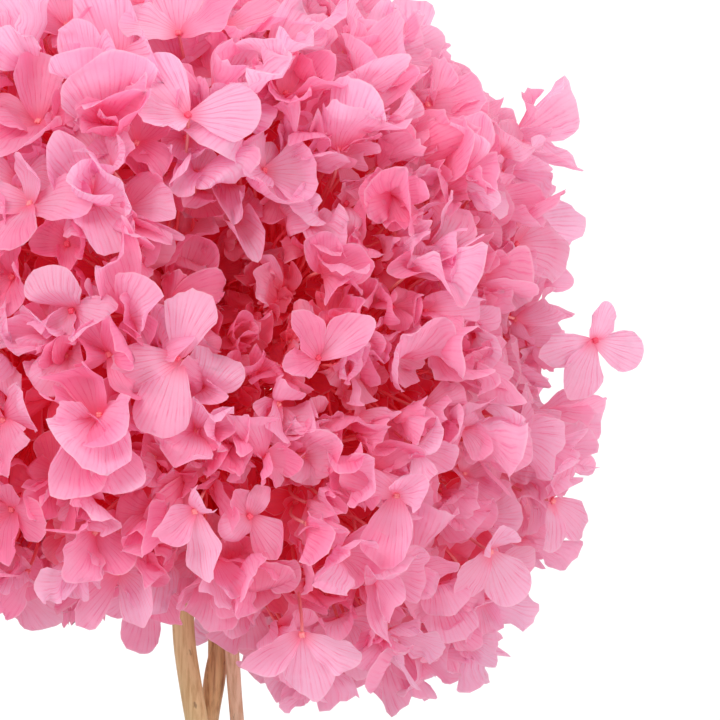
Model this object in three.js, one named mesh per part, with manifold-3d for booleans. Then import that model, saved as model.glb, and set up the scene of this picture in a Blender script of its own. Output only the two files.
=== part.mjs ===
// Dried mophead hydrangeas, a bunch of three cut stems, standing in a plain glass jar.
// Millimetres, +Z up. The origin is the middle of the jar's flat underside.
import * as THREE from 'three';
import { mergeVertices } from 'three/addons/utils/BufferGeometryUtils.js';
import Module from 'manifold-3d';

const wasm = await Module();
wasm.setup();

// ---- driving dimensions ----
const CLEARANCE = 0.3; // between two pieces that touch

const JAR_HEIGHT = 138;
const JAR_BODY_RADIUS = 48;
const JAR_NECK_RADIUS = 35; // outside of the neck, under the lip
const JAR_LIP = 2.5; // how far the lip stands out from the neck
const JAR_LIP_HEIGHT = 7;
const JAR_NECK_HEIGHT = 17; // lip and neck together
const JAR_SHOULDER = 22; // height of the rounded shoulder
const JAR_HEEL = 8; // rounding between the underside and the wall
const JAR_WALL = 3;
const JAR_BASE = 7; // thickness of the floor
const JAR_SIDES = 32;

const LEFT_STEM_RADIUS = 3.1;
const FORKED_STEM_RADIUS = 2.9;
const FORK_BRANCH_RADIUS = 2.1;
const RIGHT_STEM_RADIUS = 1.9;
const STEM_GAP = 1.6; // between neighbouring stems where they are closest
const STEM_SHOWING = 30; // bare stem between the jar's mouth and the flowers
const FOOT_INSET = 10; // from the jar's inner wall to the middle of a cut end
const KNOT_SWELL = 1.35; // a stem's top swells to this many stem radii
const RISE_BEFORE_SPREAD = 0.5; // share of a stem's way up into the head before it leans out
const CROWN_LEAN = 4.5; // the front branch leans this far to the right before it turns up

const HEAD_RADIUS = 120; // to the petal tips
const HEAD_UNDERSIDE = 82; // the flowers' middles reach this far below the head's middle at most
const EVEN_SHARE = 0.955; // the head's radius between its swellings, as a share of the whole
const HEAD_OFFSET = -15; // the head leans this far to the left of the jar's axis
const HEART_RADIUS = 26; // the stems' tops lie this far from the head's middle
const ENTRY_RADIUS = 27; // no flowers this close to the stems under the head

const CLUSTERS = 40; // places on a whole sphere, before the ones at the stems are left out
const FLORETS = 96; // likewise
const LAYER_DEPTH = 0.13; // inner florets sit this share of the radius deeper
const UMBEL_AT = 0.6; // where a cluster's stalk divides, as a share of its length
const STALK_RADIUS = 1.4;
const PEDICEL_RADIUS = 0.8;
const PETAL_LENGTH = 20;
const PETAL_SPREAD = 0.37; // half the angle that one petal takes, in radians
const PETAL_NOTCH = 0.45; // depth of the notch between petals, as a share of their length
const PETAL_THICKNESS = 1;
const PETAL_CUP = 4; // the tips stand this far above the middle
const PETAL_TILT = 0.5; // the most that a floret leans, in radians

// The bunch is several mopheads grown together. Each entry is the way a swelling or a hollow
// faces from the head's middle, its height as a share of the radius, and its width in radians.
const FORMS = [
  { toward: [0.12, -0.8, 0.6], height: 0.06, width: 0.38 },
  { toward: [-0.3, -0.93, -0.1], height: 0.06, width: 0.4 },
  { toward: [0.45, -0.75, -0.45], height: 0.07, width: 0.34 },
  { toward: [0.83, -0.2, 0.55], height: 0.1, width: 0.26 },
  { toward: [0.98, -0.1, 0.28], height: 0.03, width: 0.2 },
  { toward: [0.92, -0.15, -0.38], height: 0.11, width: 0.24 },
  { toward: [0.68, -0.3, -0.7], height: 0.07, width: 0.22 },
  { toward: [0.3, 0.2, 0.93], height: 0.05, width: 0.4 },
  { toward: [-0.85, -0.1, 0.45], height: 0.07, width: 0.4 },
  { toward: [0.75, 0.6, -0.15], height: 0.06, width: 0.4 },
  { toward: [0.05, 0.95, 0.35], height: 0.07, width: 0.4 },
  { toward: [-0.75, 0.6, -0.2], height: 0.07, width: 0.4 },
  { toward: [0.1, 0.75, -0.6], height: 0.05, width: 0.36 },
  { toward: [-0.75, -0.3, -0.6], height: 0.05, width: 0.36 },
  { toward: [0.27, -0.95, 0.14], height: -0.24, width: 0.15 },
  { toward: [0.44, -0.9, 0.02], height: -0.07, width: 0.4 },
  { toward: [1, -0.1, 0.02], height: -0.13, width: 0.14 },
];

// The underside from left to right: how far along, as a share of the head's radius, and how far
// the flowers hang below its middle there, as a share of the most that they do.
const UNDERSIDE_LINE = [
  [-1, 0.68], [-0.3, 0.56], [0, 0.54], [0.15, 0.56], [0.25, 0.71], [0.37, 1],
  [0.5, 0.98], [0.58, 0.88], [0.68, 0.96], [0.78, 0.88], [0.93, 0.59],
];

// One floret stands out by itself at the right, from the head's middle.
const STRAY_FLORET = new THREE.Vector3(119, -6, 4);

// ---- places worked out from the dimensions ----
const NECK_Z = JAR_HEIGHT + STEM_SHOWING;
const HEAD_CENTRE = new THREE.Vector3(HEAD_OFFSET, 0, NECK_Z + HEAD_UNDERSIDE);
const FOOT_RING = JAR_BODY_RADIUS - JAR_WALL - FOOT_INSET;
const FLORET_REACH = HEAD_RADIUS - 0.4 * PETAL_LENGTH;

const UP = new THREE.Vector3(0, 1, 0);

const glass = new THREE.MeshStandardMaterial({ color: 0xdfe8e6, roughness: 0.05, metalness: 0 });
const ochreBark = new THREE.MeshStandardMaterial({ color: 0xc8a564, roughness: 0.7, metalness: 0 });
const tanBark = new THREE.MeshStandardMaterial({ color: 0xb9824b, roughness: 0.75, metalness: 0 });
const salmonBark = new THREE.MeshStandardMaterial({ color: 0xcd9673, roughness: 0.7, metalness: 0 });
const petalPinks = [0xf5a0be, 0xee86ac, 0xe96f99].map(
  (color) => new THREE.MeshStandardMaterial({ color, roughness: 0.6, metalness: 0 }),
);

// ---- solids ----
function solidOf(geometry) {
  geometry.deleteAttribute('normal');
  geometry.deleteAttribute('uv');
  const merged = mergeVertices(geometry, 1e-4);
  return new wasm.Manifold(
    new wasm.Mesh({
      numProp: 3,
      vertProperties: Float32Array.from(merged.attributes.position.array),
      triVerts: Uint32Array.from(merged.index.array),
    }),
  );
}

function geometryOf(solid) {
  const mesh = solid.getMesh();
  const geometry = new THREE.BufferGeometry();
  geometry.setAttribute('position', new THREE.BufferAttribute(mesh.vertProperties, 3));
  geometry.setIndex(new THREE.BufferAttribute(mesh.triVerts, 1));
  geometry.computeVertexNormals();
  return geometry;
}

// The body of a cut solid, without the crumbs that the cut may leave.
function mainBody(solid) {
  const bodies = solid.decompose();
  return bodies.reduce((best, body) => (body.volume() > best.volume() ? body : best));
}

// A repeatable number from 0 to 1.
function chance(index, salt) {
  const wave = Math.sin(index * 12.9898 + salt * 78.233) * 43758.5453;
  return wave - Math.floor(wave);
}

// Directions spread evenly over a sphere.
function spread(count) {
  const golden = Math.PI * (3 - Math.sqrt(5));
  return Array.from({ length: count }, (_, i) => {
    const z = 1 - (2 * i + 1) / count;
    const flat = Math.sqrt(1 - z * z);
    return new THREE.Vector3(flat * Math.cos(i * golden), flat * Math.sin(i * golden), z);
  });
}

function tube(points, radius, sides, steps) {
  const section = new THREE.Shape();
  section.absarc(0, 0, radius, 0, 2 * Math.PI);
  const outline = new THREE.Shape(section.getSpacedPoints(sides).slice(0, sides));
  return solidOf(
    new THREE.ExtrudeGeometry(outline, {
      steps,
      bevelEnabled: false,
      extrudePath: new THREE.CatmullRomCurve3(points),
    }),
  );
}

function rod(from, to, radius, sides) {
  const along = to.clone().sub(from);
  const geometry = new THREE.CylinderGeometry(radius, radius, along.length(), sides);
  geometry.applyQuaternion(new THREE.Quaternion().setFromUnitVectors(UP, along.clone().normalize()));
  geometry.translate(...from.clone().add(to).multiplyScalar(0.5).toArray());
  return solidOf(geometry);
}

function knot(centre, radius) {
  const geometry = new THREE.IcosahedronGeometry(radius, 1);
  geometry.translate(...centre.toArray());
  return solidOf(geometry);
}

// ---- the jar ----
function jarWall(inset, from, to) {
  const body = JAR_BODY_RADIUS - inset;
  const neck = JAR_NECK_RADIUS - inset;
  const shoulderTop = JAR_HEIGHT - JAR_NECK_HEIGHT;
  const shoulderStart = shoulderTop - JAR_SHOULDER;
  const wall = new THREE.Path();
  wall.moveTo(body - JAR_HEEL + inset, from);
  wall.quadraticCurveTo(body, from, body, from + JAR_HEEL - inset);
  wall.lineTo(body, shoulderStart);
  wall.bezierCurveTo(body, shoulderStart + JAR_SHOULDER / 2, neck, shoulderTop - JAR_SHOULDER / 2, neck, shoulderTop);
  wall.lineTo(neck, to);
  return wall.getPoints(3);
}

function jarGeometry() {
  const lipBottom = JAR_HEIGHT - JAR_LIP_HEIGHT;
  const bulge = JAR_LIP_HEIGHT / 4;
  const neck = JAR_NECK_RADIUS;
  const profile = [
    new THREE.Vector2(0, 0),
    ...jarWall(0, 0, lipBottom),
    new THREE.Vector2(neck + JAR_LIP, lipBottom + bulge),
    new THREE.Vector2(neck + JAR_LIP, JAR_HEIGHT - bulge),
    new THREE.Vector2(neck + JAR_LIP - bulge, JAR_HEIGHT),
    ...jarWall(JAR_WALL, JAR_BASE, JAR_HEIGHT).reverse(),
    new THREE.Vector2(0, JAR_BASE),
  ];
  const geometry = new THREE.LatheGeometry(profile, JAR_SIDES);
  geometry.rotateX(Math.PI / 2);
  return geometryOf(solidOf(geometry));
}

// ---- the stems ----
// Where each stem crosses the neck of the bunch, side by side with a gap between them.
const neckForked = new THREE.Vector3(2, 3.5, NECK_Z);
const neckLeft = neckForked.clone();
neckLeft.x -= FORKED_STEM_RADIUS + LEFT_STEM_RADIUS + STEM_GAP;
neckLeft.y -= 3.5 * STEM_GAP;
const neckRight = neckForked.clone();
neckRight.x += FORKED_STEM_RADIUS + RIGHT_STEM_RADIUS;
neckRight.y -= 2.5 * STEM_GAP;

const fork = new THREE.Vector3(neckForked.x, neckForked.y, NECK_Z - 4);

// The stems' tops, where the flower stalks spring from, as directions from the head's middle.
const tops = {
  left: { toward: new THREE.Vector3(-0.87, -0.25, -0.43), radius: LEFT_STEM_RADIUS },
  back: { toward: new THREE.Vector3(0.15, 0.9, -0.4), radius: FORK_BRANCH_RADIUS },
  crown: { toward: new THREE.Vector3(0.05, 0, 1), radius: FORK_BRANCH_RADIUS },
  right: { toward: new THREE.Vector3(0.75, -0.55, -0.37), radius: RIGHT_STEM_RADIUS },
};
for (const top of Object.values(tops)) {
  top.point = top.toward.clone().normalize().multiplyScalar(HEART_RADIUS);
  top.world = top.point.clone().add(HEAD_CENTRE);
  top.knot = KNOT_SWELL * top.radius;
}

function foot(angle) {
  return new THREE.Vector3(FOOT_RING * Math.cos(angle), FOOT_RING * Math.sin(angle), JAR_BASE);
}

// The middle line of a stem, from under its cut end on the jar's floor, past the neck of the bunch.
function route(angle, neck, above) {
  const end = foot(angle);
  const below = end.clone().lerp(neck, -0.05);
  const middle = end.clone().lerp(neck, 0.55);
  return [below, middle, neck, ...above];
}

// From the neck of the bunch up into the head: nearly straight at first, then out to the top.
function upTo(top, from, lean = 0) {
  const bend = from.clone().lerp(top.world, 0.1);
  bend.x += lean;
  bend.z = from.z + RISE_BEFORE_SPREAD * (top.world.z - from.z);
  return [bend, top.world];
}

const limbs = {
  left: { points: route(-0.75, neckLeft, upTo(tops.left, neckLeft)), radius: LEFT_STEM_RADIUS, steps: 14 },
  trunk: { points: route(2.5, fork, []), radius: FORKED_STEM_RADIUS, steps: 8 },
  back: { points: [fork, ...upTo(tops.back, fork)], radius: FORK_BRANCH_RADIUS, steps: 7 },
  crown: { points: [fork, ...upTo(tops.crown, fork, CROWN_LEAN)], radius: FORK_BRANCH_RADIUS, steps: 9 },
  right: { points: route(0.95, neckRight, upTo(tops.right, neckRight)), radius: RIGHT_STEM_RADIUS, steps: 14 },
};

// Several limbs joined, with a swollen knot at each top, cut off flat just above the jar's floor.
function stemSolid(limbNames, knots) {
  let solid;
  for (const name of limbNames) {
    const { points, radius, steps } = limbs[name];
    const limb = tube(points, radius, 9, steps);
    solid = solid ? solid.add(limb) : limb;
  }
  for (const { point, radius } of knots) solid = solid.add(knot(point, radius));
  return solid.trimByPlane([0, 0, 1], JAR_BASE + CLEARANCE);
}

function knotOf(top) {
  return { point: top.world, radius: top.knot };
}

// The stems with their clearance round them, in the head's frame, to cut the clusters back from.
function stemSleeves() {
  return Object.values(limbs).map(({ points, radius, steps }) => {
    const lowered = points.map((point) => point.clone().sub(HEAD_CENTRE));
    return tube(lowered, radius + CLEARANCE, 9, steps);
  });
}

// ---- the flower clusters ----
// How far the florets' middles may hang below the head's middle, this far along X from it.
function underside(x) {
  const along = x / HEAD_RADIUS;
  const last = UNDERSIDE_LINE.length - 1;
  if (along <= UNDERSIDE_LINE[0][0]) return HEAD_UNDERSIDE * UNDERSIDE_LINE[0][1];
  if (along >= UNDERSIDE_LINE[last][0]) return HEAD_UNDERSIDE * UNDERSIDE_LINE[last][1];
  const next = UNDERSIDE_LINE.findIndex(([place]) => place > along);
  const [x0, share0] = UNDERSIDE_LINE[next - 1];
  const [x1, share1] = UNDERSIDE_LINE[next];
  return HEAD_UNDERSIDE * (share0 + ((share1 - share0) * (along - x0)) / (x1 - x0));
}

// How far the florets' middles lie from the head's middle in a direction.
function reach(direction) {
  let share = EVEN_SHARE;
  for (const { toward, height, width } of FORMS) {
    share += height * Math.exp(-((direction.angleTo(new THREE.Vector3(...toward)) / width) ** 2));
  }
  let distance = share * FLORET_REACH;
  if (direction.z > -0.2) return distance;
  for (let i = 0; i < 3; i += 1) distance = Math.min(distance, underside(direction.x * distance) / -direction.z);
  return distance;
}

function overStems(point) {
  const sideways = Math.hypot(point.x + HEAD_CENTRE.x - neckForked.x, point.y + HEAD_CENTRE.y - neckForked.y);
  return point.z < 0 && sideways < ENTRY_RADIUS;
}

function nearestTop(point) {
  return Object.values(tops).reduce((best, top) =>
    point.distanceTo(top.point) < point.distanceTo(best.point) ? top : best,
  );
}

// The cluster centres, each fed by the stem top that is nearest.
function clusterList() {
  const centres = spread(CLUSTERS).map((d) => d.clone().multiplyScalar(reach(d)));
  return centres
    .filter((point) => !overStems(point))
    .map((point) => {
      const top = nearestTop(point);
      return { point, top, toward: point.clone().sub(top.point).normalize(), florets: [] };
    });
}

function ownerOf(point, clusters) {
  const top = nearestTop(point);
  const seen = point.clone().sub(top.point).normalize();
  const own = clusters.filter((cluster) => cluster.top === top);
  return own.reduce((a, b) => (b.toward.dot(seen) > a.toward.dot(seen) ? b : a));
}

// Floret middles on the head's surface, each given to the cluster whose direction it is nearest.
function shareFlorets(clusters) {
  spread(FLORETS).forEach((direction, i) => {
    const depth = 1 - LAYER_DEPTH * (i % 3) / 2;
    const point = direction.clone().multiplyScalar(reach(direction) * depth);
    if (overStems(point)) return;
    const owner = ownerOf(point, clusters);
    owner.florets.push({ point: point.lerp(owner.point, 0.15), index: i });
  });
  ownerOf(STRAY_FLORET, clusters).florets.push({ point: STRAY_FLORET, index: FLORETS });
}

// Four blunt petals round a middle, cupped, as one thin plate.
function floretPlate(centre, outward, index) {
  const geometry = new THREE.CylinderGeometry(1, 1, PETAL_THICKNESS, 12);
  const position = geometry.attributes.position;
  for (let v = 0; v < position.count; v += 1) {
    const x = position.getX(v);
    const z = position.getZ(v);
    if (Math.hypot(x, z) < 0.5) continue;
    const corner = Math.round(Math.atan2(z, x) / (Math.PI / 6) + 12) % 12;
    const lobe = Math.floor(corner / 3) * (Math.PI / 2);
    const place = corner % 3; // two corners at a petal's tip, then the notch after it
    const angle = lobe + [-PETAL_SPREAD, PETAL_SPREAD, Math.PI / 4][place];
    const size = place === 2 ? PETAL_NOTCH : 1;
    position.setX(v, PETAL_LENGTH * size * Math.cos(angle));
    position.setZ(v, PETAL_LENGTH * size * Math.sin(angle));
    position.setY(v, position.getY(v) + PETAL_CUP * size * size);
  }
  const lean = new THREE.Euler(
    PETAL_TILT * (2 * chance(index, 1) - 1),
    2 * Math.PI * chance(index, 2),
    PETAL_TILT * (2 * chance(index, 3) - 1),
  );
  geometry.applyQuaternion(new THREE.Quaternion().setFromEuler(lean));
  geometry.applyQuaternion(new THREE.Quaternion().setFromUnitVectors(UP, outward));
  geometry.translate(...centre.toArray());
  return solidOf(geometry);
}

// Cuts a solid back to its own share of the head, so that neighbours keep their clearance.
function keepApart(solid, cluster, clusters, sleeves) {
  let kept = solid;
  for (const other of clusters) {
    if (other === cluster || other.top !== cluster.top) continue;
    const normal = cluster.toward.clone().sub(other.toward).normalize();
    kept = kept.trimByPlane(normal.toArray(), normal.dot(cluster.top.point) + CLEARANCE / 2);
  }
  for (const top of Object.values(tops)) {
    if (top === cluster.top) continue;
    const normal = cluster.top.point.clone().sub(top.point).normalize();
    const halfway = cluster.top.point.clone().add(top.point).multiplyScalar(0.5);
    kept = kept.trimByPlane(normal.toArray(), normal.dot(halfway) + CLEARANCE / 2);
  }
  for (const sleeve of sleeves) kept = kept.subtract(sleeve);
  return mainBody(kept);
}

function clusterSolid(cluster, clusters, sleeves) {
  const { top, toward, point, florets } = cluster;
  const start = top.point.clone().addScaledVector(toward, top.knot + CLEARANCE);
  const umbel = top.point.clone().lerp(point, UMBEL_AT);
  let solid = rod(start, umbel, STALK_RADIUS, 5);
  for (const floret of florets) {
    const outward = floret.point.clone().sub(umbel).normalize();
    solid = solid.add(rod(umbel, floret.point, PEDICEL_RADIUS, 4));
    solid = solid.add(floretPlate(floret.point, outward, floret.index));
  }
  return keepApart(solid, cluster, clusters, sleeves);
}

// ---- assembly ----
const hydrangea = new THREE.Group();

function place(parent, name, geometry, material) {
  const mesh = new THREE.Mesh(geometry, material);
  mesh.name = name;
  parent.add(mesh);
}

const leftStem = stemSolid(['left'], [knotOf(tops.left)]);
const forkKnot = { point: fork, radius: FORKED_STEM_RADIUS * 1.1 };
const forkedStem = stemSolid(['trunk', 'back', 'crown'], [forkKnot, knotOf(tops.back), knotOf(tops.crown)]);
const rightStem = stemSolid(['right'], [knotOf(tops.right)]);
place(hydrangea, 'glass_jar', jarGeometry(), glass);
place(hydrangea, 'stem_left', geometryOf(leftStem), ochreBark);
place(hydrangea, 'stem_forked', geometryOf(forkedStem), tanBark);
place(hydrangea, 'stem_right', geometryOf(rightStem), salmonBark);

const head = new THREE.Group();
head.position.copy(HEAD_CENTRE);
hydrangea.add(head);
const clusters = clusterList();
const sleeves = stemSleeves();
shareFlorets(clusters);
clusters.forEach((cluster, i) => {
  const name = `floret_cluster_${String(i + 1).padStart(2, '0')}`;
  const solid = clusterSolid(cluster, clusters, sleeves);
  place(head, name, geometryOf(solid), petalPinks[i % petalPinks.length]);
});

export default hydrangea;
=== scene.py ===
"""Preserved pink mophead hydrangeas on cut stems, standing in a plain glass jar."""

import math
import random

import bmesh
import bpy
from mathutils import Matrix, Vector, noise
from mathutils.kdtree import KDTree


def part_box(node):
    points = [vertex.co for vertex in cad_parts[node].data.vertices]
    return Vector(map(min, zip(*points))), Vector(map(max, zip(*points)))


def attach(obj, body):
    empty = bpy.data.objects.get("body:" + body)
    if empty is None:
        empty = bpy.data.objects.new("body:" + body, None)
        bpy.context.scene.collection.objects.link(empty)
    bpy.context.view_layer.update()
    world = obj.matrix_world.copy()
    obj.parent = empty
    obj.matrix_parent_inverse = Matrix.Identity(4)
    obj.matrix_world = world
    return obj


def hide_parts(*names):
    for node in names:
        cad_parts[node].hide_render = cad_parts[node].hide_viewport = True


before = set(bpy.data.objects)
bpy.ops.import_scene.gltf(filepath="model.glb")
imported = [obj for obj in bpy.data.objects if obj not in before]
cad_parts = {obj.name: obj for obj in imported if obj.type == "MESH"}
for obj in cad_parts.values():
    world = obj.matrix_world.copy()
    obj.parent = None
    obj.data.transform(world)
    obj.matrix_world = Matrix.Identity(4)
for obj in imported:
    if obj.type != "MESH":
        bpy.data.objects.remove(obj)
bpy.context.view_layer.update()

MM = 0.001
GOLDEN_TURN = math.pi * (3 - math.sqrt(5))

# ---- places read from the frame ----
CLUSTER_NAMES = sorted(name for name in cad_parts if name.startswith("floret_cluster"))
JAR_LOW, JAR_HIGH = (Vector(corner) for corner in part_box("glass_jar"))
HEAD_RADIUS = 120 * MM
HEAD_CENTRE = Vector((-15 * MM, 0, JAR_HIGH.z + 112 * MM))

# ---- the flowers' sizes ----
SEPAL_LENGTH = 17.5 * MM
SEPAL_GRID = (7, 9)  # faces across and along a sepal
BUD_RADIUS = 1.0 * MM
PEDICEL_RADIUS = 0.42 * MM
CLUSTER_STALK_GIRTH = 3.0  # in pedicels
FLORET_DEPTH = 9 * MM  # the florets' middles lie this far inside the petal tips
# No florets hang round the stems, under the head.
STEMS_AT = Vector((1.5 * MM, 2 * MM, 0))
ENTRY_RADIUS = 17 * MM

# ---- how florets crowd each other ----
NEIGHBOURHOOD = 26 * MM
# A sepal is held back by a neighbour whose middle is less than this far below its floret's own,
# or less than this far above it. The listed florets hold back sepals from further below.
HELD_FROM_BELOW = 3 * MM
HELD_FROM_ABOVE = 6 * MM
HELD_BY_HAND_SET = 10 * MM
MEETING_PLACE = 0.54  # share of the way to the neighbour at which their sepals meet
PUSHED_BACK = 0.72  # how much of what reaches past there goes back
TURNED_UP = 0.6  # how far it turns up instead
SHADE_REACH = 34 * MM  # sepals are shorter under a higher floret that is nearer than this
SHADE_SHARE = 0.3  # the most that they lose of their length
ROOM_AT_SURFACE = 13 * MM  # between the listed florets and the rest
ROOM_BELOW = 9 * MM

# ---- the head's form ----
# The bunch is several mopheads grown together. Each entry is the way a swelling or a hollow
# faces from the head's middle, its height as a share of the radius, and its width in radians.
FORMS = [
    (Vector(toward).normalized(), height, width)
    for toward, height, width in (
        ((0.12, -0.80, 0.60), 0.06, 0.38),
        ((-0.30, -0.93, -0.10), 0.06, 0.40),
        ((0.45, -0.75, -0.45), 0.07, 0.34),
        ((0.82, -0.20, 0.56), 0.09, 0.20),
        ((0.62, 0.00, 0.80), -0.11, 0.26),
        ((0.96, -0.10, 0.30), 0.04, 0.18),
        ((0.89, -0.15, -0.46), 0.10, 0.20),
        ((0.87, -0.10, -0.50), 0.08, 0.20),
        ((0.68, -0.30, -0.70), 0.04, 0.22),
        ((0.30, 0.20, 0.93), 0.05, 0.40),
        ((-0.85, -0.10, 0.45), 0.07, 0.40),
        ((0.75, 0.60, -0.15), 0.06, 0.40),
        ((0.05, 0.95, 0.35), 0.07, 0.40),
        ((-0.75, 0.60, -0.20), 0.07, 0.40),
        ((0.10, 0.75, -0.60), 0.05, 0.36),
        ((-0.75, -0.30, -0.60), 0.05, 0.36),
        ((0.25, -0.93, 0.24), -0.34, 0.17),
        ((0.44, -0.90, 0.02), -0.07, 0.40),
        ((0.97, -0.30, 0.07), -0.20, 0.19),
        ((0.97, 0.30, 0.07), -0.20, 0.19),
    )
]
EVEN_SHARE = 0.955  # the head's radius between its swellings, as a share of the whole
# The underside from left to right: how far along, as a share of the head's radius, and how far
# below the head's middle the flowers hang there, as a share of HEAD_UNDERSIDE.
HEAD_UNDERSIDE = 82 * MM
UNDERSIDE_FROM = -0.2  # directions lower than this meet the underside
UNDERSIDE_LINE = [
    (-1, 0.70),
    (-0.3, 0.66),
    (0, 0.66),
    (0.12, 0.63),
    (0.25, 0.76),
    (0.35, 1.03),
    (0.45, 0.86),
    (0.53, 0.90),
    (0.62, 1.12),
    (0.71, 0.86),
    (0.79, 0.72),
    (1, 0.58),
]

# The ways from the head's middle to the tightest part of its face, to the recess beside it, and
# to the fullest part. Painted shade reddens the sepals round the first two.
RED_HEART = Vector((0.38, -0.92, 0.15)).normalized()
RECESS = Vector((0.25, -0.93, 0.24)).normalized()
FULL_FACE = Vector((0.12, -0.80, 0.60)).normalized()
HEART_WIDTH = 0.42
# How much more painted shade, or below 0 less, reddens the sepals round each, and how widely.
PAINTED_SHADE_PLACES = ((RED_HEART, 0.40, 0.38), (RECESS, 0.35, 0.17), (FULL_FACE, -0.22, HEART_WIDTH))
PAINTED_SHADE_DEPTH = 26 * MM  # the depth under the surface at which a sepal's painted shade is at its reddest
# Painted shade that the sepals have even at the head's surface.
PAINTED_SHADE_AT_SURFACE = 0.12
# Painted light: parts of the head's right, lower and back sides are a cooler, paler pink, as sepals
# that get less of the key light and more light through them from behind. The way each part faces and
# how wide it is.
BACKLIT_SIDES = [
    (Vector((0.95, -0.2, -0.35)).normalized(), 0.75),
    (Vector((0.5, -0.3, -0.95)).normalized(), 0.6),
    (Vector((0.75, -0.1, 0.75)).normalized(), 0.45),
    (Vector((-0.6, 0.8, 0.3)).normalized(), 0.7),
]
# The head's layers: how many florets there are on a whole sphere, how far out they lie as a
# share of the surface, how open they are, and how far from the red heart they reach.
LAYERS = (
    (860, 1.0, 0.46, math.pi),
    (560, 0.91, 0.46, math.pi),
    (240, 0.76, 0.5, math.pi),
    (180, 0.52, 0.4, math.pi),
    (1500, 0.95, 0.3, 0.55),
)
TIGHTER = 0.26  # how much less open the florets are at the red heart
FULLER = 0.26  # how much more open they are on the full face
LARGER = 0.2  # how much larger they are there
PALER = 0.8  # how much paler they are there


def nearness(toward, middle, width):
    """From 1 in a direction down to 0 away from it."""
    return math.exp(-((toward.angle(middle) / width) ** 2))


def underside(x):
    """How far the florets' middles may hang below the head's middle, at this far along X."""
    points = [(place * HEAD_RADIUS, share * HEAD_UNDERSIDE) for place, share in UNDERSIDE_LINE]
    if x <= points[0][0]:
        return points[0][1]
    for (x0, d0), (x1, d1) in zip(points, points[1:]):
        if x < x1:
            return d0 + (d1 - d0) * (x - x0) / (x1 - x0)
    return points[-1][1]


def reach(toward):
    """How far the florets' middles lie from the head's middle in a direction."""
    share = EVEN_SHARE
    for middle, height, width in FORMS:
        share += height * nearness(toward, middle, width)
    distance = share * (HEAD_RADIUS - FLORET_DEPTH)
    if toward.z < UNDERSIDE_FROM:
        for _ in range(3):
            distance = min(distance, underside(toward.x * distance) / -toward.z)
    return distance


def backlit_share(toward):
    """From 0, warm pink, to 1, the coolest pink of painted backlight, in a direction from the head's
    middle.
    """
    return max(nearness(toward, middle, width) for middle, width in BACKLIT_SIDES)


def painted_shade_toward(toward):
    """How much painted shade reddens the sepals in a direction from the head's middle."""
    return sum(amount * nearness(toward, middle, width) for middle, amount, width in PAINTED_SHADE_PLACES)


def spread(count, turn=0.0):
    """Directions spread evenly over a sphere."""
    for i in range(count):
        z = 1 - (2 * i + 1) / count
        flat = math.sqrt(1 - z * z)
        angle = i * GOLDEN_TURN + turn
        yield Vector((flat * math.cos(angle), flat * math.sin(angle), z))


def wander(rng, size):
    """A random step of about this size."""
    return Vector((rng.gauss(0, size), rng.gauss(0, size), rng.gauss(0, size)))


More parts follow.
